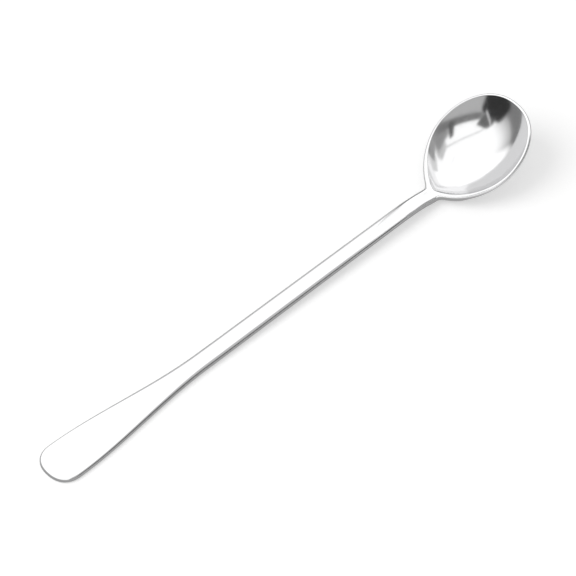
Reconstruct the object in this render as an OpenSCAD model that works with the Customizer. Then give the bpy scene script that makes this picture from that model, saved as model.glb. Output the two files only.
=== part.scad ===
// Iced tea spoon: a deep egg-shaped bowl on a long slim handle that widens into a flat, round-ended grip.
// Lengths are in millimetres and angles in degrees. X runs from the end of the grip to the tip of the bowl
// and Z points up. The spoon lies as it does on a table: on the underside of its grip and on its bowl.
// Every surface is swept from half sections. A half section starts at the middle of the top surface, runs
// out over the edge and comes back along the underside to the middle, and the other half mirrors it.

/* [Whole spoon] */
// Length from the end of the grip to the tip of the bowl
overall_l = 190; // [150:1:260]

/* [Bowl] */
// Length of the bowl along its rim, from the point of its outline at the neck to its tip
bowl_l = 39.6; // [34:0.1:50]
// Width of the bowl over its rim
bowl_w = 31; // [24:0.1:38]
// Depth of the hollow below the rim
bowl_depth = 7.6; // [6:0.1:10]
// Thickness of the metal at the bottom of the bowl
wall_t = 1.2; // [0.8:0.1:1.8]
// Width of the rim from its outer edge to the hollow
rim_w = 0.8; // [0.7:0.05:1.6]
// Radius of the outer edge of the rim, which takes up nearly all its width
rim_round = 0.75; // [0.4:0.05:0.95]
// Angle between the plane of the rim and the table
bowl_tilt = 23.7; // [14:0.1:30]
// Distance from the point of the outline at the neck to the point of the hollow
neck_land = 2; // [1.5:0.1:3.5]

/* [Shape of the bowl] */
// Where the bowl is widest and deepest, as a share of its length from the neck
wide_share = 0.55; // [0.46:0.01:0.62]
// Power of the outline from the neck to the widest place: 1 is a parabola
taper_power = 0.78; // [0.7:0.01:1]
// Power of the outline from the widest place to the tip: 0.5 is an ellipse
tip_power = 0.46; // [0.43:0.01:0.5]
// Power of the floor of the hollow from the neck to the deepest place
floor_power = 0.8; // [0.7:0.05:1]
// Share of a half ellipse that the hollow's section uses: nearer to 1 is a steeper wall
round_share = 0.6; // [0.5:0.01:0.85]

/* [Neck] */
// Length of the short neck on the bowl, from the point of its outline back to the weld
neck_stub_l = 4; // [3:0.5:8]
// Size of the fillets between the neck and the sides of the bowl
neck_fillet = 3; // [1:0.1:4]
// Size of the rounded dip between the top of the neck and the rim
neck_dip = 2.4; // [1:0.1:3.5]
// Height of the top of the neck over the plane of the rim, at the point of the outline
neck_over = 1.8; // [1:0.1:3]
// How far the end of the stem bends down towards the bowl
neck_drop = 1.3; // [0.5:0.1:2.5]
// Length over which the stem bends down
neck_bend_l = 13; // [8:1:30]
// Size of the blend between the underside of the neck and the underside of the bowl
under_blend = 3; // [1:0.1:4]
// How much deeper the neck is under its end than the stem, where it runs into the bowl
neck_keel = 0.8; // [0:0.1:2]
// Length over which that depth comes in from the weld on
keel_in_l = 6; // [3:0.5:8]
// Length over which it fades out under the bowl
keel_out_l = 10; // [5:0.5:14]

/* [Stem] */
// Width of the stem at the neck
stem_w = 5.3; // [4.2:0.1:7]
// Width of the stem where the grip starts to widen
stem_back_w = 6.1; // [4.6:0.1:8]
// Thickness of the stem
stem_t = 2.4; // [2.1:0.1:3.4]
// Radius of the upper edges of the stem
stem_round = 1.1; // [0.6:0.05:1.15]
// Radius of the lower edges of the stem
stem_under_round = 0.9; // [0.4:0.05:0.95]
// How much higher the middle of the top is than its edges
crown = 0.2; // [0:0.05:0.4]

/* [Grip] */
// Width of the grip at its widest place
grip_w = 14.5; // [11:0.1:20]
// Thickness of the grip
grip_t = 1.8; // [1.5:0.1:2.4]
// Length of the round end of the grip
grip_round_l = 7; // [5:0.5:10]
// Power of the round end: 2 is an ellipse and more is squarer
grip_power = 2.3; // [2:0.1:3]
// Radius of the upper edges of the grip
grip_edge = 0.8; // [0.4:0.05:0.85]
// Radius of the lower edges of the grip
grip_under_edge = 0.6; // [0.3:0.05:0.65]
// Distance from the end of the grip to where the stem starts
taper_l = 61; // [45:1:80]
// Length of the grip that lies flat on the table
flat_l = 44; // [25:1:55]
// Length over which the handle curves up off the table
lift_l = 27; // [10:1:40]
// How far the middle of the grip arches up off the table
grip_arch = 0.05; // [0.02:0.01:0.2]
// Distance from the end of the grip to where the arch starts
arch_start = 7; // [3:0.5:12]

/* [Hidden] */

// Numbers of steps along the parts and around their half sections
neck_steps = 7;
back_steps = 16;
tip_steps = 14;
stem_steps = 34;
grip_steps = 10;
halving_steps = 40;
bowl_counts = [12, 2, 6, 12];
handle_counts = [4, 1, 5, 8];
// Steps of the lower half of a stem section: side, lower edge and flat underside, as shares of its steps
side_share = 0.1;
edge_share = 0.5;
// Spacing of the steps behind the hollow's point: above 1 draws them closer to the point
crowd_power = 1.4;

// Lengths that follow from the driving ones
wide_p = wide_share * bowl_l;
hollow_l = bowl_l - neck_land - rim_w;
hollow_share = (wide_p - neck_land) / hollow_l;
bowl_run = (bowl_l - rim_round) * cos(bowl_tilt) + rim_round * (1 + sin(bowl_tilt));
end_x = -overall_l / 2;
neck_x = overall_l / 2 - bowl_run;
weld_x = neck_x - neck_stub_l;
weld_p = -neck_stub_l / cos(bowl_tilt);
handle_l = neck_x - end_x;
// The neck's wall and its upper edge turn into the bowl's over these distances from the weld
wall_change_share = 0.5;
edge_change_share = 0.35;
wall_change_l = wall_change_share * bowl_l;
edge_change_l = edge_change_share * bowl_l;
// The strip of top surface between the middle field and an edge in a stem section
strip_share = 0.05;
// How fast the middle field narrows towards the point of the hollow, and its least half width
narrow_share = 0.8;
point_share = 0.02;
point_w = point_share * rim_w;
// The steepest side of the outline that the rim's width allows for
side_slope_limit = 1.2;

// Smooth steps and blends
function clip01(u) = min(1, max(0, u));
function ease(u) = let (v = clip01(u)) v * v * (3 - 2 * v);
function mix(a, b, m) = a + (b - a) * m;
// Zero, then a parabola over a unit of travel, then a straight line
function lift_off(u) = u < 0 ? 0 : u < 1 ? u * u / 2 : u - 1 / 2;
// The larger of two values, rounded over where they differ by less than k
function blend_max(a, b, k) =
    let (h = max(k - abs(a - b), 0) / k)
    max(a, b) + h * h * h * k / 6;

// Outline of an egg of unit length and half width, widest at share c of its length
function egg(q, c) =
    q < c
        ? pow(clip01(1 - pow((c - q) / c, 2)), taper_power)
        : pow(clip01(1 - pow((q - c) / (1 - c), 2)), tip_power);
// Half widths of the rim's outer and inner outlines at distance p along the rim
function outer_half(p) = bowl_w / 2 * egg(clip01(p / bowl_l), wide_share);
function inner_half(p) = (bowl_w / 2 - rim_w) * egg(clip01((p - neck_land) / hollow_l), hollow_share);
function outer_slope(p) =
    let (step = bowl_l / 1000)
    p < step ? 0 : min(side_slope_limit, abs(outer_half(p + step) - outer_half(p - step)) / (2 * step));

// Unit cap of an ellipse: 1 at the middle and 0 at the edge, where it is steep but not upright
cap_foot = sqrt(1 - round_share * round_share);
cap_slope = round_share * round_share / (cap_foot * (1 - cap_foot));
function cap(u) = (sqrt(max(1 - pow(round_share * u, 2), 0)) - cap_foot) / (1 - cap_foot);

// Depth of the hollow along the middle line, nothing behind its point, of the neck's keel, and of the underside
function hollow_depth(p) =
    bowl_depth * pow(1 - pow(1 - clip01((p - neck_land) / (wide_p - neck_land)), 2), floor_power);
function keel(p) = neck_keel * ease((p - weld_p) / keel_in_l) * (1 - ease(p / keel_out_l));
function under_depth(p) =
    blend_max(stem_t, hollow_depth(p) + min(p - neck_land, 0) + wall_t, under_blend) + keel(p);

// Distances along the rim of the sections between the weld and the widest place
bowl_ps = [
    for (i = [0:neck_steps]) mix(weld_p, neck_land, i / neck_steps),
    for (i = [1:back_steps]) mix(neck_land, wide_p, pow(i / back_steps, crowd_power))
];
// Slope of the handle's straight rise, for a rim's plane at height h at the neck
function slope_for(h) =
    (h + neck_over + neck_drop - stem_t) / (lift_l * lift_off((handle_l - flat_l) / lift_l));
// How far the dip behind the bowl raises a section over the rim's plane
function dip_lift(p, h) =
    let (run = p * cos(bowl_tilt), rim = p * sin(bowl_tilt))
    blend_max(neck_over + run * slope_for(h), rim, neck_dip) - rim;
// Height of the rim's plane at the neck: the lowest section of the bowl just meets the table. The dip's part
// hardly changes with that height, so two rounds settle it.
function low_point(p, h) = p * sin(bowl_tilt) + dip_lift(p, h) - under_depth(p) * cos(bowl_tilt);
function height_from(h) = -min([for (p = bowl_ps) if (p > neck_land) low_point(p, h)]);
rim_h = height_from(height_from(0));

// Side profile of the handle: flat on the table, a lift, a straight run, and a bend down to the bowl
rise_slope = slope_for(rim_h);
function bend_share(d) = clip01((d - handle_l + neck_bend_l) / neck_bend_l);
function handle_under(d) =
    rise_slope * lift_l * lift_off((d - flat_l) / lift_l) - neck_drop * pow(bend_share(d), 2);
function grip_part(d) = ease((taper_l - d) / (taper_l - grip_round_l));
function handle_t(d) = mix(stem_t, grip_t, grip_part(d));
// How far the shallow arch of the grip lifts it at x, between the arch's start and the end of the flat length
function arch_lift(x) =
    let (d = clip01((x - end_x - arch_start) / (flat_l - arch_start)))
    4 * grip_arch * d * (1 - d);
function rim_line(x) = rim_h + (x - neck_x) * tan(bowl_tilt);
// Height of the top of the spoon along its middle line
function top_line(x) = blend_max(handle_under(x - end_x) + handle_t(x - end_x), rim_line(x), neck_dip);
// Lean of the section planes: upright along the handle, square to the rim in the bowl
function lean(x) = bowl_tilt * ease((x - weld_x) / (neck_x + neck_land * cos(bowl_tilt) - weld_x));

// Half widths of the stem and of the whole handle, seen from above
function stem_half(d) = mix(stem_back_w, stem_w, clip01((d - taper_l) / (handle_l - taper_l))) / 2;
function handle_half(d) = mix(stem_half(d), grip_w / 2, grip_part(d));

// What a station holds for its half section: its place along the spoon, the direction of its half plane seen
// from above, the reach of the half section and of its middle field, the depths of the hollow and the
// underside, the size of its upper edge, the radius of its lower edge, how far it has turned from a stem
// section into a bowl section, and its crown
function x_of(s) = s[0];
function dir_of(s) = s[1];
function reach_of(s) = s[2];
function field_of(s) = s[3];
function hollow_of(s) = s[4];
function under_of(s) = s[5];
function edge_of(s) = s[6];
function lower_of(s) = s[7];
function bowl_part(s) = s[8];
function crown_of(s) = s[9];

// Where the crown runs into the edge without a crease: the angle of the edge's first point, worked out twice
function crown_lean(s, a) =
    let (e = edge_of(s))
    atan(2 * crown_of(s) * e[0] / (e[1] * (reach_of(s) - e[0] * (1 - sin(a)))));
function edge_start(s) = crown_lean(s, crown_lean(s, 0));

// Points of a station's half section, as distance out from the middle and height over the top line
function top_points(s, counts, a) =
    let (flat = reach_of(s) - edge_of(s)[0] * (1 - sin(a)))
    [
        for (i = [0:counts[0]])
            let (u = sin(90 * i / counts[0]), r = u * field_of(s))
            [r, crown_of(s) * (1 - pow(r / flat, 2)) - hollow_of(s) * cap(u)],
        for (i = [1:counts[1]])
            let (r = mix(field_of(s), flat, i / counts[1]))
            [r, crown_of(s) * (1 - pow(r / flat, 2))]
    ];
function edge_points(s, counts, from, to) = [
    for (i = [1:counts[2]])
        let (a = mix(from, to, i / counts[2]), e = edge_of(s))
        [reach_of(s) - e[0] * (1 - sin(a)), -e[1] * (cos(from) - cos(a))]
];
// Lower half of a stem section: upright side, rounded lower edge and flat underside
function stem_lower(s, counts, start) =
    let (
        n = counts[3], sides = max(1, round(side_share * n)), edges = round(edge_share * n),
        reach = reach_of(s), base = -under_of(s), r = lower_of(s)
    )
    [
        for (i = [1:n])
            i <= sides
                ? [reach, mix(start[1], base + r, i / sides)]
                : i <= sides + edges
                    ? let (a = 90 * (i - sides) / edges)
                        [reach - r * (1 - cos(a)), base + r * (1 - sin(a))]
                    : [(reach - r) * (n - i) / (n - sides - edges), base]
    ];
// Lower half of a bowl section: the outside of the wall, from under the rolled edge to the bottom
function bowl_lower(s, counts, start) = [
    for (i = [1:counts[3]])
        let (u = i == counts[3] ? 0 : cos(90 * i / counts[3]))
        [start[0] * u, start[1] - (under_of(s) + start[1]) * cap(u)]
];
function half_section(s, counts) =
    let (
        from = edge_start(s),
        roll = atan(reach_of(s) / ((under_of(s) - edge_of(s)[1]) * cap_slope)),
        last = counts[2] - 1,
        stem_edge = edge_points(s, counts, from, 90),
        bowl_edge = edge_points(s, counts, from, 90 + roll),
        stem_side = concat(stem_edge, stem_lower(s, counts, stem_edge[last])),
        bowl_side = concat(bowl_edge, bowl_lower(s, counts, bowl_edge[last]))
    )
    concat(
        top_points(s, counts, from),
        [for (i = [0:len(stem_side) - 1]) mix(stem_side[i], bowl_side[i], bowl_part(s))]
    );
// The same points in space. The station's plane leans with the rim, and side is 1 or -1.
function placed(s, counts, side) =
    let (x = x_of(s), dir = dir_of(s), a = lean(x), h = top_line(x))
    [
        for (q = half_section(s, counts))
            let (place = x + q[0] * dir[0] * cos(a) - q[1] * sin(a))
            [place, side * q[0] * dir[1], h + q[0] * dir[0] * sin(a) + q[1] * cos(a) + arch_lift(place)]
    ];

// A closed skin over stations that start at a flat end face. From station root on, they fan out from one
// middle point, and the last one lies on the middle line. Both halves share the points at the middle.
// The first half lies on side first, 1 or -1, which turns the faces outwards.
module skin(stations, root, counts, first) {
    last = len(stations) - 1;
    ring = len(half_section(stations[0], counts));
    points = [
        for (i = [0:2 * last])
            each placed(stations[i > last ? 2 * last - i : i], counts, i > last ? -first : first)
    ];
    function own(i, j) =
        let (k = i > last ? 2 * last - i : i)
        j == 0 || j == ring - 1 ? min(k, root) * ring + j : i * ring + j;
    function whole(t) = t[0] != t[1] && t[1] != t[2] && t[2] != t[0];
    faces = [
        for (i = [0:2 * last - 1], j = [0:ring - 2])
            let (a = own(i, j), b = own(i + 1, j), c = own(i + 1, j + 1), d = own(i, j + 1))
            each [for (t = [[a, b, c], [a, c, d]]) if (whole(t)) t]
    ];
    end_face = [
        for (j = [0:ring - 1]) own(0, j),
        for (j = [ring - 2:-1:1]) own(2 * last, j)
    ];
    polyhedron(points = points, faces = concat(faces, [end_face]), convexity = 6);
}

// Stations of the neck and the back of the bowl, then of the round front of the bowl
function back_station(p) =
    let (
        x = neck_x + p * cos(bowl_tilt),
        m = ease((p - weld_p) / edge_change_l),
        turned = ease((p - weld_p) / wall_change_l),
        slant = norm([1, outer_slope(p)]),
        reach = blend_max(stem_half(x - end_x), p > 0 ? outer_half(p) : 0, neck_fillet),
        edge = [mix(stem_round, min(rim_round * slant, rim_w), m), mix(stem_round, rim_round, m)],
        stem_field = reach - edge[0] - strip_share * stem_round,
        field = p > neck_land
            ? max(inner_half(p), point_w)
            : min(stem_field, (neck_land - p) * narrow_share + point_w),
        fade = 1 - ease((p - weld_p) / (neck_land - weld_p))
    )
    [x, [0, 1], reach, field, hollow_depth(p), under_depth(p), edge, stem_under_round, turned, crown * fade];
// Where a ray from the deepest place, in direction dir, leaves the hollow: the outline holds where f is 1
function hollow_reach(dir, low, high, n) =
    let (
        r = (low + high) / 2,
        f = pow(r * dir[0] / (hollow_l * (1 - hollow_share)), 2)
            + pow(r * dir[1] / (bowl_w / 2 - rim_w), 1 / tip_power)
    )
    n == 0 ? r : f < 1 ? hollow_reach(dir, r, high, n - 1) : hollow_reach(dir, low, r, n - 1);
function tip_station(a) =
    let (
        x = neck_x + wide_p * cos(bowl_tilt),
        rim = [(bowl_l - wide_p) * cos(a), bowl_w / 2 * pow(sin(a), 2 * tip_power)],
        reach = norm(rim),
        dir = rim / reach,
        field = hollow_reach(dir, 0, reach, halving_steps),
        edge = [rim_round, rim_round]
    )
    [x, dir, reach, field, bowl_depth, under_depth(wide_p), edge, stem_under_round, 1, 0];

// Stations of the handle, from the weld back to the grip, then of the grip's round end
function handle_station(x) =
    let (
        d = x - end_x,
        reach = handle_half(d),
        e = mix(stem_round, grip_edge, grip_part(d)),
        field = reach - e - strip_share * stem_round,
        lower = mix(stem_under_round, grip_under_edge, grip_part(d))
    )
    [x, [0, 1], reach, field, 0, handle_t(d), [e, e], lower, 0, crown];
function grip_station(a) =
    let (
        x = end_x + grip_round_l,
        rim = [-grip_round_l * pow(cos(a), 2 / grip_power), grip_w / 2 * pow(sin(a), 2 / grip_power)],
        reach = norm(rim),
        field = reach - grip_edge - strip_share * stem_round,
        edge = [grip_edge, grip_edge]
    )
    [x, rim / reach, reach, field, 0, grip_t, edge, grip_under_edge, 0, crown];

// The bowl, with its hollow, rim and short neck
module bowl() {
    stations = [
        for (p = bowl_ps) back_station(p),
        for (i = [1:tip_steps]) tip_station(90 * (1 - i / tip_steps))
    ];
    color("silver")
        skin(stations, len(bowl_ps) - 1, bowl_counts, -1);
}

// The handle: slim stem and flat grip. Its flat end face meets the bowl's neck at the weld.
module handle() {
    stations = [
        for (i = [0:stem_steps]) handle_station(mix(weld_x, end_x + grip_round_l, i / stem_steps)),
        for (i = [1:grip_steps]) grip_station(90 * (1 - i / grip_steps))
    ];
    color("gainsboro")
        skin(stations, stem_steps, handle_counts, 1);
}

bowl();
handle();
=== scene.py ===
"""An iced tea spoon in polished steel, lying on a white table under soft studio light.

The spoon is two pieces, the bowl with its short neck and the handle. Each is a skin swept over half sections,
worked out as whole arrays from the same sizes as the solids. Lengths are in metres and angles in radians.
"""

import logging
import math
from dataclasses import dataclass, field
from enum import Enum
from functools import cached_property
from typing import Any, Mapping, Union

import bpy
import numpy as np
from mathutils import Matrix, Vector


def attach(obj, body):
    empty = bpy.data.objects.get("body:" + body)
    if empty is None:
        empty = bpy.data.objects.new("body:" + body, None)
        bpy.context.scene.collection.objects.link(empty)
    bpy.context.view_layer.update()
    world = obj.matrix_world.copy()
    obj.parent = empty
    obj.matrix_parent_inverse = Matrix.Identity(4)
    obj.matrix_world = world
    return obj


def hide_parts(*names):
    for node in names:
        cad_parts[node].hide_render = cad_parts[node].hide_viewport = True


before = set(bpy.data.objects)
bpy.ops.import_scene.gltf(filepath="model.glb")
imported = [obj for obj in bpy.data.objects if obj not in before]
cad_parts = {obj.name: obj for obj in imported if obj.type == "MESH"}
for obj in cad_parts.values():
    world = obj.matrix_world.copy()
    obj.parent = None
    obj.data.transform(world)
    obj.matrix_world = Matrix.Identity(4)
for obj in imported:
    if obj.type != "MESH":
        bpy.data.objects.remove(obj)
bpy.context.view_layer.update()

LOG = logging.getLogger("iced_tea_spoon")
PICTURE_SIDE = 576
VIEW_TURN = math.radians(42.32)
TINY = 1e-9

# Steps round an edge, along each part of a stem's side and round a bowl's wall, before they are spaced evenly.
FINE_EDGE, FINE_SIDE, FINE_WALL = 60, 40, 120

Array = np.ndarray
Value = Union[float, Array]


def ease(u: Value) -> Array:
    """Smooth step: three times u squared less two times u cubed, with u held between 0 and 1."""
    v = np.clip(u, 0.0, 1.0)
    return v * v * (3 - 2 * v)


def mix(a: Value, b: Value, m: Value) -> Array:
    """The value at share m of the way from a to b."""
    return a + (b - a) * m


def lift_off(u: Array) -> Array:
    """Zero up to 0, half of u squared up to 1, and u less a half beyond."""
    return np.where(u < 0, 0.0, np.where(u < 1, u * u / 2, u - 0.5))


def blend_max(a: Value, b: Value, k: Value) -> Array:
    """The larger of a and b, raised by k over 6 times the cube of how near they are, where they differ by under k.

    Args:
        a: one value.
        b: the other value.
        k: the difference past which nothing is blended.

    Returns:
        The blended values.
    """
    near = np.maximum(k - np.abs(a - b), 0.0) / k
    return np.maximum(a, b) + near**3 * k / 6


def even_rows(rows: Array, count: int) -> Array:
    """Spaces the points of each row evenly along that row's length.

    The lengths along all rows are laid end to end on one line, so that one interpolation serves every row.

    Args:
        rows: points as rows by places by coordinates.
        count: points wanted in each row.

    Returns:
        The new points as rows by count by coordinates.
    """
    steps = np.linalg.norm(np.diff(rows, axis=1), axis=2)
    run = np.concatenate([np.zeros((len(rows), 1)), np.cumsum(steps, axis=1)], axis=1)
    offset = 2.0 * np.arange(len(rows))[:, None]
    known = (run / run[:, -1:] + offset).ravel()
    wanted = (np.linspace(0, 1, count)[None, :] + offset).ravel()
    columns = [np.interp(wanted, known, rows[:, :, c].ravel()) for c in range(rows.shape[2])]
    return np.stack(columns, axis=-1).reshape(len(rows), count, -1)


@dataclass(frozen=True)
class SpoonSizes:
    """The spoon's driving sizes, and the profiles that follow from them."""

    overall_l: float = 0.190
    bowl_l: float = 0.0396
    bowl_w: float = 0.031
    bowl_depth: float = 0.0076
    wall_t: float = 0.0012
    rim_w: float = 0.0008
    rim_round: float = 0.00075
    rim_break: float = 0.0002
    neck_break: float = 0.0009
    break_fade_l: float = 0.012
    bowl_tilt: float = math.radians(23.695)
    neck_land: float = 0.002
    wide_share: float = 0.55
    taper_power: float = 0.78
    tip_power: float = 0.46
    floor_power: float = 0.8
    round_share: float = 0.6
    neck_stub_l: float = 0.004
    neck_fillet: float = 0.003
    neck_dip: float = 0.0024
    neck_over: float = 0.0018
    neck_drop: float = 0.0013
    neck_bend_l: float = 0.013
    under_blend: float = 0.003
    neck_keel: float = 0.0008
    keel_in_l: float = 0.006
    keel_out_l: float = 0.010
    stem_w: float = 0.0053
    stem_back_w: float = 0.0061
    stem_t: float = 0.0024
    stem_round: float = 0.0011
    stem_edge_w: float = 0.0019
    stem_under_round: float = 0.0009
    crown: float = 0.0002
    grip_w: float = 0.0145
    grip_t: float = 0.0018
    grip_round_l: float = 0.007
    grip_power: float = 2.3
    grip_edge: float = 0.0008
    grip_under_edge: float = 0.0006
    taper_l: float = 0.061
    flat_l: float = 0.044
    lift_l: float = 0.027
    grip_arch: float = 0.00005
    arch_start: float = 0.007
    wall_change_share: float = 0.5
    edge_change_share: float = 0.35
    side_slope_limit: float = 1.2
    slope_steps: int = 1000
    rim_places: int = 400
    field_gap_share: float = 0.05
    field_point_share: float = 0.02
    field_narrowing: float = 0.8
    corner_zone: float = 0.0003
    corner_share: float = 0.1
    break_share: float = 0.5

    @property
    def wide_p(self) -> float:
        """Distance along the rim to the widest place."""
        return self.wide_share * self.bowl_l

    @property
    def hollow_l(self) -> float:
        """Length of the hollow along the rim."""
        return self.bowl_l - self.neck_land - self.rim_w

    @property
    def hollow_share(self) -> float:
        """Where the hollow is widest, as a share of its length."""
        return (self.wide_p - self.neck_land) / self.hollow_l

    @property
    def field_gap(self) -> float:
        """Least gap between the middle field of the top and the edge."""
        return self.field_gap_share * self.stem_round

    @property
    def field_point(self) -> float:
        """Half width of the middle field at the neck, where the hollow starts."""
        return self.field_point_share * self.rim_w

    @property
    def end_x(self) -> float:
        """Where the grip ends."""
        return -self.overall_l / 2

    @property
    def neck_x(self) -> float:
        """Where the point of the bowl's outline lies."""
        run = (self.bowl_l - self.rim_round) * math.cos(self.bowl_tilt)
        return self.overall_l / 2 - run - self.rim_round * (1 + math.sin(self.bowl_tilt))

    @property
    def weld_x(self) -> float:
        """Where the bowl's neck meets the handle."""
        return self.neck_x - self.neck_stub_l

    @property
    def weld_p(self) -> float:
        """The same place as a distance along the rim's line."""
        return -self.neck_stub_l / math.cos(self.bowl_tilt)

    @property
    def handle_l(self) -> float:
        """Length from the end of the grip to the point of the bowl's outline."""
        return self.neck_x - self.end_x

    @property
    def cap_foot(self) -> float:
        """Height at which the bowl's half ellipse is cut off."""
        return math.sqrt(1 - self.round_share**2)

    @property
    def cap_slope(self) -> float:
        """Slope of the unit cap at its edge."""
        return self.round_share**2 / (self.cap_foot * (1 - self.cap_foot))

    def slope_for(self, h: float) -> float:
        """Slope of the handle's straight rise, for a rim's plane at height h at the neck."""
        rise = h + self.neck_over + self.neck_drop - self.stem_t
        return rise / (self.lift_l * float(lift_off(np.float64((self.handle_l - self.flat_l) / self.lift_l))))

    @cached_property
    def rim_h(self) -> float:
        """Height of the rim's plane at the neck, so that the lowest place of the bowl just meets the table.

        The dip behind the bowl raises the sections a little, by an amount that hardly changes with this height, so
        two rounds settle it.

        Returns:
            The height.
        """
        p = np.linspace(self.neck_land, self.wide_p, self.rim_places)
        rim = p * math.sin(self.bowl_tilt)
        under = self.under_depth(p) * math.cos(self.bowl_tilt)
        h = 0.0
        for _ in range(2):
            top = blend_max(self.neck_over + p * math.cos(self.bowl_tilt) * self.slope_for(h), rim, self.neck_dip)
            h = -float((top - under).min())
        return h

    def egg(self, q: Array, c: float) -> Array:
        """Half width of an egg of unit length.

        Behind c it is one less the squared share of the way back, to the taper's power, and before c the same
        with the share of the way on, to the tip's power.

        Args:
            q: places along the egg, from 0 to 1.
            c: the place where it is widest.

        Returns:
            The half width at each place.
        """
        behind = np.clip(1 - ((c - q) / c) ** 2, 0, 1) ** self.taper_power
        ahead = np.clip(1 - ((q - c) / (1 - c)) ** 2, 0, 1) ** self.tip_power
        return np.where(q < c, behind, ahead)

    def outer_half(self, p: Array) -> Array:
        """Half width of the rim's outer outline at distance p along the rim."""
        return self.bowl_w / 2 * self.egg(np.clip(p / self.bowl_l, 0, 1), self.wide_share)

    def inner_half(self, p: Array) -> Array:
        """Half width of the hollow's outline at distance p along the rim."""
        q = np.clip((p - self.neck_land) / self.hollow_l, 0, 1)
        return (self.bowl_w / 2 - self.rim_w) * self.egg(q, self.hollow_share)

    def outer_slope(self, p: Array) -> Array:
        """Slope of the outer outline, by its difference over a short step, held under the limit.

        Args:
            p: distances along the rim.

        Returns:
            The slope at each distance.
        """
        step = self.bowl_l / self.slope_steps
        slope = np.abs(self.outer_half(p + step) - self.outer_half(p - step)) / (2 * step)
        return np.where(p < step, 0.0, np.minimum(slope, self.side_slope_limit))

    def cap(self, u: Array) -> Array:
        """Unit cap: the top part of a half ellipse over u, carried on as a straight line beyond its edge."""
        inside = (np.sqrt(np.clip(1 - (self.round_share * u) ** 2, 0, 1)) - self.cap_foot) / (1 - self.cap_foot)
        return np.where(u < 1, inside, -self.cap_slope * (u - 1))

    def hollow_depth(self, p: Array) -> Array:
        """Depth of the hollow on the middle line: a parabola from its point to the deepest place, to a power."""
        u = np.clip((p - self.neck_land) / (self.wide_p - self.neck_land), 0, 1)
        return self.bowl_depth * (1 - (1 - u) ** 2) ** self.floor_power

    def under_depth(self, p: Array) -> Array:
        """Depth of the underside: the stem's thickness blended into the hollow's depth with its wall.

        The neck is deeper by its keel, which comes in from the weld on and fades out under the hollow.

        Args:
            p: distances along the rim.

        Returns:
            The depth at each distance.
        """
        floor = self.hollow_depth(p) + np.minimum(p - self.neck_land, 0) + self.wall_t
        keel = ease((p - self.weld_p) / self.keel_in_l) * (1 - ease(p / self.keel_out_l))
        return blend_max(self.stem_t, floor, self.under_blend) + self.neck_keel * keel

    def grip_part(self, d: Array) -> Array:
        """How far the handle has turned from stem into grip at distance d from its end."""
        return ease((self.taper_l - d) / (self.taper_l - self.grip_round_l))

    def handle_t(self, d: Array) -> Array:
        """Thickness of the handle at distance d from its end."""
        return mix(self.stem_t, self.grip_t, self.grip_part(d))

    def stem_half(self, d: Array) -> Array:
        """Half width of the stem, which narrows evenly towards the neck."""
        share = np.clip((d - self.taper_l) / (self.handle_l - self.taper_l), 0, 1)
        return mix(self.stem_back_w, self.stem_w, share) / 2

    def handle_half(self, d: Array) -> Array:
        """Half width of the handle, stem and grip, at distance d from its end."""
        return mix(self.stem_half(d), self.grip_w / 2, self.grip_part(d))

    def handle_under(self, d: Array) -> Array:
        """Height of the handle's underside: flat, a parabola up, a straight rise, and a parabola down at the neck.

        Args:
            d: distances from the end of the grip.

        Returns:
            The height at each distance.
        """
        bend = np.clip((d - self.handle_l + self.neck_bend_l) / self.neck_bend_l, 0, 1)
        rise = self.slope_for(self.rim_h) * self.lift_l * lift_off((d - self.flat_l) / self.lift_l)
        return rise - self.neck_drop * bend**2

    def arch_lift(self, x: Array) -> Array:
        """How far the shallow arch of the grip lifts it at x, between the arch's start and the flat's end."""
        d = np.clip((x - self.end_x - self.arch_start) / (self.flat_l - self.arch_start), 0, 1)
        return 4 * self.grip_arch * d * (1 - d)

    def top_line(self, x: Array) -> Array:
        """Height of the top on the middle line: the handle's top blended into the plane of the rim.

        Args:
            x: places along the spoon.

        Returns:
            The height at each place.
        """
        d = x - self.end_x
        rim = self.rim_h + (x - self.neck_x) * math.tan(self.bowl_tilt)
        return blend_max(self.handle_under(d) + self.handle_t(d), rim, self.neck_dip)

    def lean(self, x: Array) -> Array:
        """Lean of the section planes: upright along the handle and square to the rim in the bowl."""
        run = self.neck_x + self.neck_land * math.cos(self.bowl_tilt) - self.weld_x
        return self.bowl_tilt * ease((x - self.weld_x) / run)


@dataclass(frozen=True)
class RingSteps:
    """Numbers of steps round a half section: middle field, its corner, the land, and the rest down to the bottom."""

    field: int = 44
    corner: int = 10
    land: int = 4
    side: int = 64


@dataclass
class Stations:
    """What the half sections need, as one value a station.

    along and across are the direction of the half plane seen from above, and turn is how far a stem section has
    turned into a bowl section.
    """

    x: Array
    along: Array
    across: Array
    reach: Array
    field: Array
    hollow: Array
    under: Array
    edge_w: Array
    edge_h: Array
    lower: Array
    turn: Array
    crown: Array

    @classmethod
    def joined(cls, *runs: "Stations") -> "Stations":
        """One run of stations from several, in their order."""
        names = cls.__dataclass_fields__
        return cls(**{n: np.concatenate([np.asarray(getattr(r, n), float) for r in runs]) for n in names})


def edge_start(st: Stations) -> Array:
    """Angle at which the upper edge starts, so that the crown runs into it without a crease.

    The crown's slope at its side is twice its height over its half width, and the edge's slope is its height over
    its width times the tangent of its angle. The two are matched three times over.

    Args:
        st: the stations.

    Returns:
        The angle at each station.
    """
    angle = np.zeros_like(st.reach)
    for _ in range(3):
        flat = st.reach - st.edge_w * (1 - np.sin(angle))
        angle = np.arctan(2 * st.crown * st.edge_w / (st.edge_h * flat))
    return angle


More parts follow.
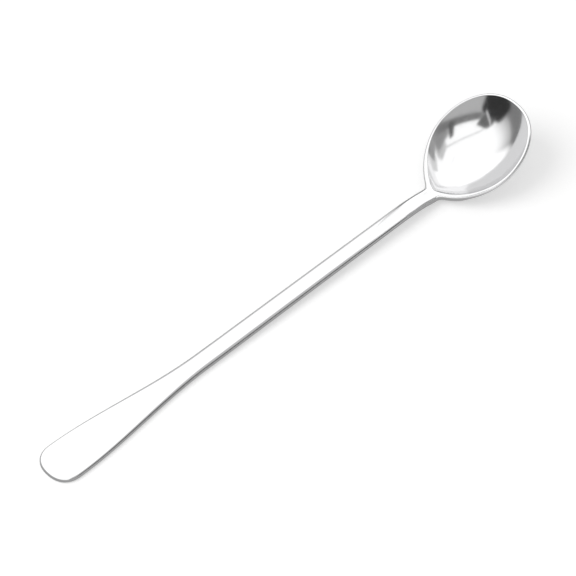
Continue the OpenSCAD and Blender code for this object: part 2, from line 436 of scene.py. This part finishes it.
def top_points(st: Stations, steps: RingSteps, sizes: SpoonSizes, start: Array) -> Array:
    """Top surface from the middle out to the edge: the crown less the hollow's cap, softened where they meet.

    Args:
        st: the stations.
        steps: the steps round a half section.
        sizes: the spoon's sizes.
        start: angle at which each station's upper edge starts.

    Returns:
        Distance out and height over the top line, as stations by places by 2.
    """
    flat = (st.reach - st.edge_w * (1 - np.sin(start)))[:, None]
    middle = st.field[:, None]
    zone = np.minimum(sizes.corner_zone, sizes.corner_share * middle)
    inner, outer = middle - zone, np.minimum(middle + zone, flat)
    out = np.concatenate(
        [
            inner * np.sin(np.pi / 2 * np.linspace(0, 1, steps.field + 1))[None, :],
            mix(inner, outer, np.linspace(0, 1, steps.corner + 1)[None, 1:]),
            mix(outer, flat, np.linspace(0, 1, steps.land + 1)[None, 1:]),
        ],
        axis=1,
    )
    hollow = st.hollow[:, None]
    near = 1 - ease((st.x - sizes.neck_x) / sizes.break_fade_l)[:, None]
    soft = np.minimum(mix(sizes.rim_break, sizes.neck_break, near), sizes.break_share * hollow) + TINY
    sunk = np.where(hollow > 0, blend_max(hollow * sizes.cap(out / middle), 0.0, soft), 0.0)
    return np.stack([out, st.crown[:, None] * (1 - (out / flat) ** 2) - sunk], axis=-1)


def edge_points(st: Stations, start: Array, end: Array, count: int) -> Array:
    """Upper edge: a quarter ellipse or a little more.

    Args:
        st: the stations.
        start: angle at which each station's edge starts.
        end: angle at which it ends.
        count: steps round the edge.

    Returns:
        Distance out and height over the top line, as stations by places by 2.
    """
    a = mix(start[:, None], end[:, None], np.linspace(0, 1, count + 1)[None, :])
    out = st.reach[:, None] - st.edge_w[:, None] * (1 - np.sin(a))
    return np.stack([out, -st.edge_h[:, None] * (np.cos(start)[:, None] - np.cos(a))], axis=-1)


def stem_side(st: Stations, start: Array) -> Array:
    """Side of a stem section: upper edge, upright side, quarter circle and flat underside, closely spaced.

    Args:
        st: the stations.
        start: angle at which each station's upper edge starts.

    Returns:
        Distance out and height over the top line, as stations by places by 2.
    """
    edge = edge_points(st, start, np.full_like(start, np.pi / 2), FINE_EDGE)
    base, r, reach = -st.under[:, None], st.lower[:, None], st.reach[:, None]
    u = np.linspace(0, 1, FINE_SIDE + 1)[None, 1:]
    each = (len(start), FINE_SIDE)
    side = np.stack([np.broadcast_to(reach, each), mix(edge[:, -1:, 1], base + r, u)], axis=-1)
    a = np.pi / 2 * u
    corner = np.stack([reach - r * (1 - np.cos(a)), base + r * (1 - np.sin(a))], axis=-1)
    under = np.stack([(reach - r) * (1 - u), np.broadcast_to(base, each)], axis=-1)
    return np.concatenate([edge, side, corner, under], axis=1)


def bowl_side(st: Stations, sizes: SpoonSizes, start: Array) -> Array:
    """Side of a bowl section: an edge rolled past upright, then the wall's outside as a cap, closely spaced.

    Args:
        st: the stations.
        sizes: the spoon's sizes.
        start: angle at which each station's upper edge starts.

    Returns:
        Distance out and height over the top line, as stations by places by 2.
    """
    roll = np.arctan(st.reach / ((st.under - st.edge_h) * sizes.cap_slope))
    edge = edge_points(st, start, np.pi / 2 + roll, FINE_EDGE)
    out, high = edge[:, -1:, 0], edge[:, -1:, 1]
    u = np.cos(np.pi / 2 * np.linspace(0, 1, FINE_WALL + 1))[None, 1:]
    u = np.where(u < TINY, 0.0, u)
    wall = np.stack([out * u, high - (st.under[:, None] + high) * sizes.cap(u)], axis=-1)
    return np.concatenate([edge, wall], axis=1)


def half_sections(st: Stations, steps: RingSteps, sizes: SpoonSizes) -> Array:
    """Half sections of all stations, from the middle of the top over the edge to the middle of the underside.

    A stem side and a bowl side are each spaced evenly along their length and then mixed point by point, which keeps
    the mixture smooth.

    Args:
        st: the stations.
        steps: the steps round a half section.
        sizes: the spoon's sizes.

    Returns:
        Distance out and height over the top line, as stations by places by 2.
    """
    start = edge_start(st)
    top = top_points(st, steps, sizes, start)
    stem = even_rows(stem_side(st, start), steps.side + 1)
    bowl = even_rows(bowl_side(st, sizes, start), steps.side + 1)
    side = mix(stem, bowl, st.turn[:, None, None])
    side[:, -1, 0] = 0.0
    return np.concatenate([top, side[:, 1:]], axis=1)


def placed(st: Stations, sections: Array, sizes: SpoonSizes) -> Array:
    """Half sections in space: each plane turns to its direction, leans with the rim and stands on the top line.

    Args:
        st: the stations.
        sections: distance out and height over the top line, as stations by places by 2.
        sizes: the spoon's sizes.

    Returns:
        Points, as stations by places by 3.
    """
    a = sizes.lean(st.x)[:, None]
    high = sizes.top_line(st.x)[:, None]
    out, up = sections[..., 0], sections[..., 1]
    run = out * st.along[:, None]
    x = st.x[:, None] + run * np.cos(a) - up * np.sin(a)
    z = high + run * np.sin(a) + up * np.cos(a) + sizes.arch_lift(x)
    return np.stack([x, out * st.across[:, None], z], axis=-1)


def linked(name: str, data: bpy.types.ID) -> bpy.types.Object:
    """Puts a new object into the scene.

    Args:
        name: name of the object.
        data: its mesh, camera or light.

    Returns:
        The new object.
    """
    made = bpy.data.objects.new(name, data)
    bpy.context.scene.collection.objects.link(made)
    return made


def skin(name: str, half: Array, root: int, first: int) -> bpy.types.Object:
    """Closed skin over half sections and their mirror image.

    The two halves share the points of the middle line. From station root on, the half sections fan out from one
    middle point, and the last one lies on the middle line itself. The end face at the first station is flat.

    Args:
        name: name of the piece.
        half: points of one half, as stations by places by 3.
        root: the station from which the fan starts.
        first: side that the first half lies on, 1 or -1.

    Returns:
        The new object.
    """
    count, ring = half.shape[:2]
    last = count - 1
    rows = np.concatenate([half, half[:last][::-1] * np.array([1, -1, 1])]) * np.array([1, first, 1])
    source = np.concatenate([np.arange(count), np.arange(last)[::-1]])
    index = np.arange(len(rows) * ring).reshape(-1, ring)
    index[:, 0] = np.minimum(source, root) * ring
    index[:, -1] = np.minimum(source, root) * ring + ring - 1
    a, b, c, d = index[:-1, :-1], index[:-1, 1:], index[1:, 1:], index[1:, :-1]
    quads = np.stack([a, b, c, d], axis=-1)
    top_pole = quads[:, 0][quads[:, 0, 0] == quads[:, 0, 3]]
    under_pole = quads[:, -1][quads[:, -1, 1] == quads[:, -1, 2]]
    whole = (quads[..., 0] != quads[..., 3]) & (quads[..., 1] != quads[..., 2])
    end = np.concatenate([index[0], index[-1][ring - 2 : 0 : -1]])[::-1]
    used, small = np.unique(index, return_inverse=True)
    number = np.zeros(len(rows) * ring, int)
    number[used] = np.arange(len(used))
    faces = [
        *number[quads[whole]].tolist(),
        *number[top_pole[:, [0, 1, 2]]].tolist(),
        *number[under_pole[:, [0, 1, 3]]].tolist(),
        number[end].tolist(),
    ]
    mesh = bpy.data.meshes.new(name)
    mesh.from_pydata(rows.reshape(-1, 3)[used], [], faces)
    smooth = np.ones(len(faces), bool)
    smooth[-1] = False
    mesh.polygons.foreach_set("use_smooth", smooth)
    ends = np.zeros(2 * len(mesh.edges), int)
    mesh.edges.foreach_get("vertices", ends)
    mesh.edges.foreach_set("use_edge_sharp", np.isin(ends, number[end]).reshape(-1, 2).all(axis=1))
    mesh.update()
    return linked(name, mesh)


@dataclass
class Bowl:
    """The bowl with its hollow, rim and short neck."""

    sizes: SpoonSizes = field(default_factory=SpoonSizes)
    steps: RingSteps = field(default_factory=RingSteps)
    neck_count: int = 36
    back_count: int = 72
    tip_count: int = 56
    crowd_power: float = 1.5
    halvings: int = 50

    def back_stations(self) -> Stations:
        """Stations from the weld through the neck to the widest place, square to the rim.

        Returns:
            The stations, in that order.
        """
        s = self.sizes
        neck = mix(s.weld_p, s.neck_land, np.linspace(0, 1, self.neck_count + 1) ** self.crowd_power)
        back = mix(s.neck_land, s.wide_p, np.linspace(0, 1, self.back_count + 1)[1:] ** self.crowd_power)
        p = np.concatenate([neck, back])
        x = s.neck_x + p * math.cos(s.bowl_tilt)
        turn = ease((p - s.weld_p) / (s.wall_change_share * s.bowl_l))
        edge_turn = ease((p - s.weld_p) / (s.edge_change_share * s.bowl_l))
        reach = blend_max(s.stem_half(x - s.end_x), np.where(p > 0, s.outer_half(p), 0), s.neck_fillet)
        slant = np.hypot(1, s.outer_slope(p))
        edge_w = mix(s.stem_edge_w, np.minimum(s.rim_round * slant, s.rim_w), edge_turn)
        stem_field = np.minimum(reach - edge_w - s.field_gap, (s.neck_land - p) * s.field_narrowing + s.field_point)
        fade = 1 - ease((p - s.weld_p) / (s.neck_land - s.weld_p))
        return Stations(
            x=x,
            along=np.zeros_like(x),
            across=np.ones_like(x),
            reach=reach,
            field=np.where(p > s.neck_land, np.maximum(s.inner_half(p), s.field_point), stem_field),
            hollow=s.hollow_depth(p),
            under=s.under_depth(p),
            edge_w=edge_w,
            edge_h=mix(s.stem_round, s.rim_round, edge_turn),
            lower=np.full_like(x, s.stem_under_round),
            turn=turn,
            crown=s.crown * fade,
        )

    def hollow_reach(self, along: Array, across: Array) -> Array:
        """Distance from the deepest place to the hollow's outline in each direction, by halving.

        The outline is where the squared share of the length and the share of the width, to one over the tip's
        power, add up to one.

        Args:
            along: share of each direction that runs along the bowl.
            across: share that runs across it.

        Returns:
            The distance in each direction.
        """
        s = self.sizes
        low, high = np.zeros_like(along), np.full_like(along, s.bowl_l)
        for _ in range(self.halvings):
            r = (low + high) / 2
            f = (r * along / (s.hollow_l * (1 - s.hollow_share))) ** 2
            f = f + (r * across / (s.bowl_w / 2 - s.rim_w)) ** (1 / s.tip_power)
            low, high = np.where(f < 1, r, low), np.where(f < 1, high, r)
        return low

    def tip_stations(self) -> Stations:
        """Stations that fan round the front of the bowl from the middle of its widest section.

        Returns:
            The stations, from the side to the tip.
        """
        s = self.sizes
        a = np.pi / 2 * (1 - np.linspace(0, 1, self.tip_count + 1)[1:])
        run = (s.bowl_l - s.wide_p) * np.cos(a)
        side = s.bowl_w / 2 * np.clip(np.sin(a), 0, 1) ** (2 * s.tip_power)
        side[-1] = 0.0
        reach = np.hypot(run, side)
        same = np.ones_like(a)
        return Stations(
            x=same * (s.neck_x + s.wide_p * math.cos(s.bowl_tilt)),
            along=run / reach,
            across=side / reach,
            reach=reach,
            field=self.hollow_reach(run / reach, side / reach),
            hollow=same * s.bowl_depth,
            under=same * float(s.under_depth(np.float64(s.wide_p))),
            edge_w=same * s.rim_round,
            edge_h=same * s.rim_round,
            lower=same * s.stem_under_round,
            turn=same,
            crown=same * 0,
        )

    def build(self) -> bpy.types.Object:
        """Makes the bowl.

        Returns:
            The new object.
        """
        back = self.back_stations()
        st = Stations.joined(back, self.tip_stations())
        sections = half_sections(st, self.steps, self.sizes)
        return skin("polished_bowl", placed(st, sections, self.sizes), len(back.x) - 1, -1)


@dataclass
class Handle:
    """The slim stem and the flat, round-ended grip."""

    sizes: SpoonSizes = field(default_factory=SpoonSizes)
    steps: RingSteps = field(default_factory=RingSteps)
    bend_count: int = 60
    stem_count: int = 150
    grip_count: int = 48
    crowd_power: float = 1.5

    def straight_stations(self) -> Stations:
        """Stations from the weld back to the start of the grip's round end, closer together at the neck's bend.

        Returns:
            The stations, in that order.
        """
        s = self.sizes
        bend_x = s.weld_x - s.neck_bend_l
        bend = mix(s.weld_x, bend_x, np.linspace(0, 1, self.bend_count + 1) ** self.crowd_power)
        stem = mix(bend_x, s.end_x + s.grip_round_l, np.linspace(0, 1, self.stem_count + 1)[1:])
        x = np.concatenate([bend, stem])
        d = x - s.end_x
        grip, reach = s.grip_part(d), s.handle_half(d)
        edge_w, edge_h = mix(s.stem_edge_w, s.grip_edge, grip), mix(s.stem_round, s.grip_edge, grip)
        return Stations(
            x=x,
            along=np.zeros_like(x),
            across=np.ones_like(x),
            reach=reach,
            field=reach - edge_w - s.field_gap,
            hollow=np.zeros_like(x),
            under=s.handle_t(d),
            edge_w=edge_w,
            edge_h=edge_h,
            lower=mix(s.stem_under_round, s.grip_under_edge, grip),
            turn=np.zeros_like(x),
            crown=np.full_like(x, s.crown),
        )

    def end_stations(self) -> Stations:
        """Stations that fan round the end of the grip, a quarter of a squarish ellipse.

        Returns:
            The stations, from the side to the end.
        """
        s = self.sizes
        a = np.pi / 2 * (1 - np.linspace(0, 1, self.grip_count + 1)[1:])
        run = -s.grip_round_l * np.clip(np.cos(a), 0, 1) ** (2 / s.grip_power)
        side = s.grip_w / 2 * np.clip(np.sin(a), 0, 1) ** (2 / s.grip_power)
        side[-1] = 0.0
        reach = np.hypot(run, side)
        same = np.ones_like(a)
        return Stations(
            x=same * (s.end_x + s.grip_round_l),
            along=run / reach,
            across=side / reach,
            reach=reach,
            field=reach - s.grip_edge - s.field_gap,
            hollow=same * 0,
            under=same * s.grip_t,
            edge_w=same * s.grip_edge,
            edge_h=same * s.grip_edge,
            lower=same * s.grip_under_edge,
            turn=same * 0,
            crown=same * s.crown,
        )

    def build(self) -> bpy.types.Object:
        """Makes the handle.

        Returns:
            The new object.
        """
        straight = self.straight_stations()
        st = Stations.joined(straight, self.end_stations())
        sections = half_sections(st, self.steps, self.sizes)
        return skin("polished_handle", placed(st, sections, self.sizes), len(straight.x) - 1, 1)


class Signal:
    """A shader socket that adds, subtracts, multiplies and divides like a number."""

    def __init__(self, shader: "Shader", socket: Union[bpy.types.NodeSocket, None]) -> None:
        """Wraps one output socket of a shader, or none for the last node."""
        self.shader = shader
        self.socket = socket

    def _maths(self, kind: str, *values: Any) -> "Signal":
        """A Math node over the given values."""
        return self.shader.node("ShaderNodeMath", {"operation": kind}, dict(enumerate(values)))

    def __add__(self, other: Any) -> "Signal":
        """This plus another."""
        return self._maths("ADD", self, other)

    def __radd__(self, other: Any) -> "Signal":
        """Another plus this."""
        return self._maths("ADD", other, self)

    def __sub__(self, other: Any) -> "Signal":
        """This less another."""
        return self._maths("SUBTRACT", self, other)

    def __rsub__(self, other: Any) -> "Signal":
        """Another less this."""
        return self._maths("SUBTRACT", other, self)

    def __mul__(self, other: Any) -> "Signal":
        """This times another."""
        return self._maths("MULTIPLY", self, other)

    def __rmul__(self, other: Any) -> "Signal":
        """Another times this."""
        return self._maths("MULTIPLY", other, self)

    def __truediv__(self, other: Any) -> "Signal":
        """This over another."""
        return self._maths("DIVIDE", self, other)

    def __rtruediv__(self, other: Any) -> "Signal":
        """Another over this."""
        return self._maths("DIVIDE", other, self)

    def larger(self, other: Any) -> "Signal":
        """The larger of this and another."""
        return self._maths("MAXIMUM", self, other)

    def ramp(self, low: float, high: float, start: float = 0.0, end: float = 1.0) -> "Signal":
        """A smooth step from start to end while this goes from low to high."""
        values = {"Value": self, "From Min": low, "From Max": high, "To Min": start, "To Max": end}
        return self.shader.node("ShaderNodeMapRange", {"interpolation_type": "SMOOTHSTEP"}, values)


class Shader:
    """A node tree that is written as expressions."""

    def __init__(self, owner: Union[bpy.types.Material, bpy.types.World]) -> None:
        """Starts with an empty tree.

        Args:
            owner: the material or world that the tree belongs to.
        """
        owner.use_nodes = True
        self.tree = owner.node_tree
        self.tree.nodes.clear()

    def node(
        self, kind: str, settings: Mapping[str, Any], inputs: Mapping[Union[str, int], Any], output: Union[str, int] = 0
    ) -> Signal:
        """Adds a node.

        Args:
            kind: type of the node.
            settings: its properties, set first.
            inputs: values or links of its sockets, by name or number.
            output: the output wanted, by name or number.

        Returns:
            That output as a signal.
        """
        made = self.tree.nodes.new(kind)
        for key, value in settings.items():
            setattr(made, key, value)
        for key, value in inputs.items():
            if isinstance(value, Signal):
                self.tree.links.new(value.socket, made.inputs[key])
            else:
                made.inputs[key].default_value = value
        outputs = made.outputs
        return Signal(self, outputs[output] if len(outputs) else None)

    def ray(self, fact: str) -> Signal:
        """What is known of the ray that looks."""
        return self.node("ShaderNodeLightPath", {}, {}, fact)

    def parts(self, vector: Signal) -> tuple[Signal, ...]:
        """The three parts of a vector."""
        return tuple(self.node("ShaderNodeSeparateXYZ", {}, {"Vector": vector}, n) for n in "XYZ")


class Lay(Enum):
    """Which way the polishing marks run."""

    ALONG = (6.0, 420.0, 420.0)
    ROUND = (150.0, 150.0, 90.0)


@dataclass(frozen=True)
class PolishedSteel:
    """Mirror-polished stainless steel with faint marks from the polishing wheel."""

    name: str
    lay: Lay
    colour: tuple[float, float, float, float] = (0.80, 0.80, 0.805, 1.0)
    roughness: float = 0.11
    mark_scale: float = 3.0
    mark_detail: float = 4.0
    mark_fineness: float = 0.65
    mark_roughness: float = 0.05
    mark_span: tuple[float, float] = (0.45, 0.8)
    mark_height: float = 0.0000012
    groove_span: tuple[float, float] = (0.5, 0.75)
    groove_strength: float = 0.35
    haze_scale: float = 60.0
    haze_detail: float = 3.0
    haze_fineness: float = 0.5
    haze_roughness: float = 0.04
    haze_span: tuple[float, float] = (0.45, 0.75)

    @staticmethod
    def noise(sh: Shader, place: Signal, scale: float, detail: float, fineness: float) -> Signal:
        """Noise over a place."""
        values = {"Vector": place, "Scale": scale, "Detail": detail, "Roughness": fineness}
        return sh.node("ShaderNodeTexNoise", {}, values)

    def material(self) -> bpy.types.Material:
        """Makes the material.

        Returns:
            The new material.
        """
        made = bpy.data.materials.new(self.name)
        sh = Shader(made)
        place = sh.node("ShaderNodeTexCoord", {}, {}, "Object")
        drawn = sh.node("ShaderNodeMapping", {"vector_type": "POINT"}, {"Vector": place, "Scale": self.lay.value})
        marks = self.noise(sh, drawn, self.mark_scale, self.mark_detail, self.mark_fineness)
        haze = self.noise(sh, place, self.haze_scale, self.haze_detail, self.haze_fineness)
        rough = self.roughness + self.mark_roughness * marks.ramp(*self.mark_span)
        rough = rough + self.haze_roughness * haze.ramp(*self.haze_span)
        grooves = {
            "Strength": self.groove_strength,
            "Distance": self.mark_height,
            "Height": marks.ramp(*self.groove_span),
        }
        bump = sh.node("ShaderNodeBump", {}, grooves)
        values = {"Base Color": self.colour, "Metallic": 1.0, "Roughness": rough, "Normal": bump}
        surface = sh.node("ShaderNodeBsdfPrincipled", {}, values)
        sh.node("ShaderNodeOutputMaterial", {}, {"Surface": surface})
        return made


@dataclass
class PhotoCamera:
    """The camera, set to the photograph's direction, height and scale."""

    azimuth: float = -VIEW_TURN
    elevation: float = math.radians(52.0)
    distance: float = 1.5
    pixel: float = 0.0003003
    origin_at: tuple[float, float] = (287.2, 302.9)
    sensor: float = 36.0
    sight: tuple[float, float] = (0.05, 20.0)

    def axes(self) -> tuple[Vector, Vector, Vector]:
        """The camera's directions.

        Returns:
            Its right, its up and its backward direction.
        """
        sa, ca = math.sin(self.azimuth), math.cos(self.azimuth)
        se, ce = math.sin(self.elevation), math.cos(self.elevation)
        return Vector((ca, sa, 0)), Vector((-sa * se, ca * se, ce)), Vector((sa * ce, -ca * ce, se))

    def build(self) -> None:
        """Makes the camera, aimed so that the spoon's origin lands where it does in the photograph."""
        right, up, back = self.axes()
        half = PICTURE_SIDE / 2
        aim = right * ((half - self.origin_at[0]) * self.pixel) + up * ((self.origin_at[1] - half) * self.pixel)
        data = bpy.data.cameras.new("photo_camera")
        data.sensor_width = self.sensor
        data.lens = self.sensor * self.distance / (PICTURE_SIDE * self.pixel)
        data.clip_start, data.clip_end = self.sight
        made = linked("photo_camera", data)
        made.rotation_mode = "QUATERNION"
        made.rotation_quaternion = back.to_track_quat("Z", "Y")
        made.location = aim + back * self.distance
        bpy.context.scene.camera = made


@dataclass(frozen=True)
class Patch:
    """A soft-edged field on the card round the bowl.

    Places across are degrees round the card from its front, and heights are millimetres. The field drifts sideways
    by drift degrees for each millimetre up, lifts by lift millimetres for each degree across, and sags at its ends
    by sag millimetres for each square degree.
    """

    across: float
    high: float
    half_across: float
    half_high: float
    grey: float
    drift: float = 0.0
    lift: float = 0.0
    sag: float = 0.0
    soft: float = 0.5


@dataclass
class BowlCard:
    """A curved card round the front of the bowl, seen only in its reflections, that shades the white of the studio.

    It is a part of an upright cylinder. It shows its fields to the inside only, and only to what is at least the
    nearest distance away, so the hollow's far wall reflects it and the rim and the neck beside it don't. A reflection
    of a reflection sees it as one even grey.
    """

    centre: tuple[float, float] = (0.077, 0.0)
    radius: float = 0.034
    foot: float = 0.0005
    top: float = 0.130
    columns: int = 96
    nearest: float = 0.030
    near_fade: float = 0.004
    turn: float = VIEW_TURN
    left: float = math.radians(-165.0)
    right: float = math.radians(118.0)
    white: float = 1.26
    foot_grey: float = 0.24
    white_span: tuple[float, float] = (6, 40)
    second_grey: float = 1.0
    second_span: tuple[float, float] = (1.25, 1.75)
    # Painted reflections: each field is a painted grey that the hollow shows as reflected light and shade.
    patches: tuple[Patch, ...] = (
        # Seen on the hollow's right, a dark low field and a white one farther round.
        Patch(-110, 3, 34, 13, 0.23, soft=0.8),
        Patch(-152, 32, 26, 17, 1.38, soft=0.9),
        # Seen on its left, greys that darken towards a low corner.
        Patch(77, 50, 14, 10, 0.66, soft=0.9),
        Patch(108, 33, 14, 8, 0.80, soft=0.9),
        Patch(64, 37, 20, 10.5, 0.33, soft=0.9),
        Patch(92, 28, 9.5, 8, 0.38, soft=0.6),
        Patch(96.5, 22, 4, 4, 0.24, soft=0.6),
        # Seen in its middle, a grey field under a darker band.
        Patch(12, 24, 40, 11, 0.52, soft=0.4),
        Patch(17, 37.5, 45, 4.2, 0.20, sag=0.0022, soft=0.9),
        # Seen right of the middle, a dark field with a light bar across it.
        Patch(-40, 38, 16, 9, 0.15, drift=0.9, soft=0.7),
        Patch(-53, 18, 26, 12, 0.035, drift=0.6, soft=0.35),
        Patch(-44, 32.3, 11, 1.9, 0.62, lift=-0.42, soft=0.6),
        # A dark spot left of the middle, and a thin grey line high above the fields.
        Patch(39, 45, 5.5, 9.5, 0.11, drift=0.55, soft=0.6),
        Patch(18, 76, 56, 2.4, 0.72, sag=0.0075, soft=0.9),
    )

    def shading(self, across: Signal, high: Signal) -> Signal:
        """Grey of the card: lighter with height, with each patch laid over the ones before it.

        Args:
            across: degrees round the card.
            high: height in millimetres.

        Returns:
            The grey as a signal.
        """
        grey = high.ramp(*self.white_span, self.foot_grey, self.white)
        for patch in self.patches:
            run, rise = across - patch.across, high - patch.high
            u = (run - rise * patch.drift) / patch.half_across
            v = (rise - run * patch.lift + run * run * patch.sag) / patch.half_high
            uu, vv = u * u, v * v
            inside = (uu * uu + vv * vv).ramp(1 - patch.soft, 1 + 2 * patch.soft, 1, 0)
            grey = grey + (patch.grey - grey) * inside
        return grey

    def material(self) -> bpy.types.Material:
        """A shining card, clear from behind and from nearby.

        Returns:
            The new material.
        """
        made = bpy.data.materials.new("bowl_card")
        sh = Shader(made)
        place = sh.node("ShaderNodeTexCoord", {}, {}, "Object")
        c, s = math.cos(self.turn), math.sin(self.turn)
        x, y = self.centre
        shift = (-(c * x - s * y), -(s * x + c * y), 0.0)
        values = {"Vector": place, "Rotation": (0, 0, self.turn), "Location": shift}
        right, far, up = sh.parts(sh.node("ShaderNodeMapping", {"vector_type": "POINT"}, values))
        across = sh.node("ShaderNodeMath", {"operation": "ARCTAN2"}, {0: right, 1: 0 - far}) * (180 / math.pi)
        grey = self.shading(across, up * 1000)
        second = sh.ray("Glossy Depth").ramp(*self.second_span)
        grey = grey + (self.second_grey - grey) * second
        glow = sh.node("ShaderNodeEmission", {}, {"Strength": grey})
        clear = sh.node("ShaderNodeBsdfTransparent", {}, {})
        behind = sh.node("ShaderNodeNewGeometry", {}, {}, "Backfacing")
        near = sh.ray("Ray Length").ramp(self.nearest, self.nearest + self.near_fade, 1, 0)
        mixed = sh.node("ShaderNodeMixShader", {}, {0: near.larger(behind), 1: glow, 2: clear})
        sh.node("ShaderNodeOutputMaterial", {}, {"Surface": mixed})
        return made

    def build(self) -> None:
        """Makes the card as a strip of quads that face the bowl."""
        n = self.columns + 1
        a = np.linspace(self.left, self.right, n)
        side, front = np.sin(a) * self.radius, np.cos(a) * self.radius
        c, s = math.cos(self.turn), math.sin(self.turn)
        x = self.centre[0] + side * c - front * s
        y = self.centre[1] - side * s - front * c
        low = np.stack([x, y, np.full_like(x, self.foot)], axis=-1)
        high = np.stack([x, y, np.full_like(x, self.top)], axis=-1)
        i = np.arange(self.columns)
        faces = np.stack([i, i + n, i + n + 1, i + 1], axis=-1)
        mesh = bpy.data.meshes.new("bowl_card")
        mesh.from_pydata(np.concatenate([low, high]), [], faces.tolist())
        mesh.materials.append(self.material())
        made = linked("bowl_card", mesh)
        for kind in ("camera", "diffuse", "transmission", "volume_scatter", "shadow"):
            setattr(made, f"visible_{kind}", False)


@dataclass
class Studio:
    """White table, white tent and a soft lamp.

    The tent is darker towards its foot all round, on its right side, and in a round opening whose place is given as
    angles round from the front and up. In the spoon's reflections the table is darker close beside the spoon, where
    it lies in the spoon's own shade. A span is where a shade starts and where it ends.
    """

    table_side: float = 6.0
    table_grey: float = 0.80
    table_glow: float = 0.40
    table_near: float = 0.40
    table_far: float = 0.95
    table_span: tuple[float, float] = (0.004, 0.05)
    tent_white: float = 1.4
    tent_foot: float = 0.38
    tent_span: tuple[float, float] = (0.02, 0.70)
    side_grey: float = 0.60
    side_span: tuple[float, float] = (0.20, 0.42)
    side_far_span: tuple[float, float] = (0.04, 0.16)
    opening: tuple[float, float] = (math.radians(78), math.radians(3))
    opening_grey: float = 0.05
    opening_span: tuple[float, float] = (math.radians(36), math.radians(18))
    tent_plain: float = 0.55
    lamp_power: float = 4.2
    lamp_side: float = 0.85
    lamp_way: tuple[float, float, float] = (-0.62, 0.45, 0.95)
    turn: float = VIEW_TURN

    def table(self) -> None:
        """Makes a white table that keeps the spoon's shadow."""
        half = self.table_side / 2
        mesh = bpy.data.meshes.new("table")
        mesh.from_pydata([(-half, -half, 0), (half, -half, 0), (half, half, 0), (-half, half, 0)], [], [(0, 1, 2, 3)])
        made = linked("table", mesh)
        material = bpy.data.materials.new("white_table")
        sh = Shader(material)
        grey = self.table_grey
        paint = sh.node("ShaderNodeBsdfDiffuse", {}, {"Color": (grey, grey, grey, 1.0)})
        glow = sh.node("ShaderNodeEmission", {}, {"Strength": self.seen(sh) * self.table_glow})
        plain = sh.node("ShaderNodeAddShader", {}, {0: paint, 1: glow})
        place = sh.node("ShaderNodeTexCoord", {}, {}, "Object")
        _, side, _ = sh.parts(place)
        shade = side.larger(0 - side).ramp(*self.table_span, self.table_near, self.table_far)
        mirrored = sh.node("ShaderNodeEmission", {}, {"Strength": shade})
        mixed = sh.node("ShaderNodeMixShader", {}, {0: sh.ray("Is Glossy Ray"), 1: plain, 2: mirrored})
        sh.node("ShaderNodeOutputMaterial", {}, {"Surface": mixed})
        mesh.materials.append(material)

    @staticmethod
    def seen(sh: Shader) -> Signal:
        """One for what the camera sees, straight or in a reflection or through glass, and zero for the rest."""
        camera, glossy, glass = (sh.ray(f"Is {kind} Ray") for kind in ("Camera", "Glossy", "Transmission"))
        return camera.larger(glossy).larger(glass)

    def world(self) -> None:
        """Makes a white tent with a darker foot, side and opening, plain white to the camera."""
        world = bpy.data.worlds.new("studio_world")
        bpy.context.scene.world = world
        sh = Shader(world)
        way = sh.node("ShaderNodeTexCoord", {}, {}, "Generated")
        own = sh.node("ShaderNodeMapping", {"vector_type": "POINT"}, {"Vector": way, "Rotation": (0, 0, self.turn)})
        right, far, up = sh.parts(own)
        about, rise = self.opening
        level = math.cos(rise)
        near = right * (math.sin(about) * level) - far * (math.cos(about) * level) + up * math.sin(rise)
        tent = up.ramp(*self.tent_span, self.tent_foot, self.tent_white)
        side = right.ramp(*self.side_span) * far.ramp(*self.side_far_span, 1, 0)
        tent = tent + (self.side_grey * tent / self.tent_white - tent) * side
        outer, inner = self.opening_span
        tent = tent + (self.opening_grey - tent) * near.ramp(math.cos(outer), math.cos(inner))
        grey = self.tent_plain + (tent - self.tent_plain) * sh.ray("Is Glossy Ray")
        grey = grey + (1 - grey) * sh.ray("Is Camera Ray")
        back = sh.node("ShaderNodeBackground", {}, {"Color": (1, 1, 1, 1), "Strength": grey})
        sh.node("ShaderNodeOutputWorld", {}, {"Surface": back})

    def lamp(self) -> None:
        """Makes a large soft lamp high on the far left, one metre away."""
        data = bpy.data.lights.new("soft_lamp", "AREA")
        data.shape = "DISK"
        data.size = self.lamp_side
        data.energy = self.lamp_power
        made = linked("soft_lamp", data)
        way = Vector(self.lamp_way).normalized()
        made.location = way
        made.rotation_mode = "QUATERNION"
        made.rotation_quaternion = way.to_track_quat("Z", "Y")
        made.visible_glossy = False

    def build(self) -> None:
        """Makes the whole studio."""
        self.table()
        self.world()
        self.lamp()
        BowlCard().build()


def finish_piece(piece: bpy.types.Object, node: str, steel: PolishedSteel) -> None:
    """Dresses a piece, lets it ride and stand for its solid, and reports it.

    Args:
        piece: the finished object.
        node: name of the solid that it stands for.
        steel: its finish.
    """
    piece.data.materials.append(steel.material())
    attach(piece, "root")
    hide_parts(node)
    LOG.info("%s: %d points, stands for %s", piece.name, len(piece.data.vertices), node)


def main() -> None:
    """Builds the spoon, the camera and the studio."""
    logging.basicConfig(level=logging.INFO, format="%(name)s: %(message)s")
    bpy.context.scene.view_settings.view_transform = "Standard"
    PhotoCamera().build()
    sizes = SpoonSizes()
    finish_piece(Bowl(sizes).build(), "bowl", PolishedSteel("polished_steel_bowl", Lay.ROUND))
    finish_piece(Handle(sizes).build(), "handle", PolishedSteel("polished_steel_handle", Lay.ALONG))
    Studio().build()


if __name__ == "__main__":
    main()
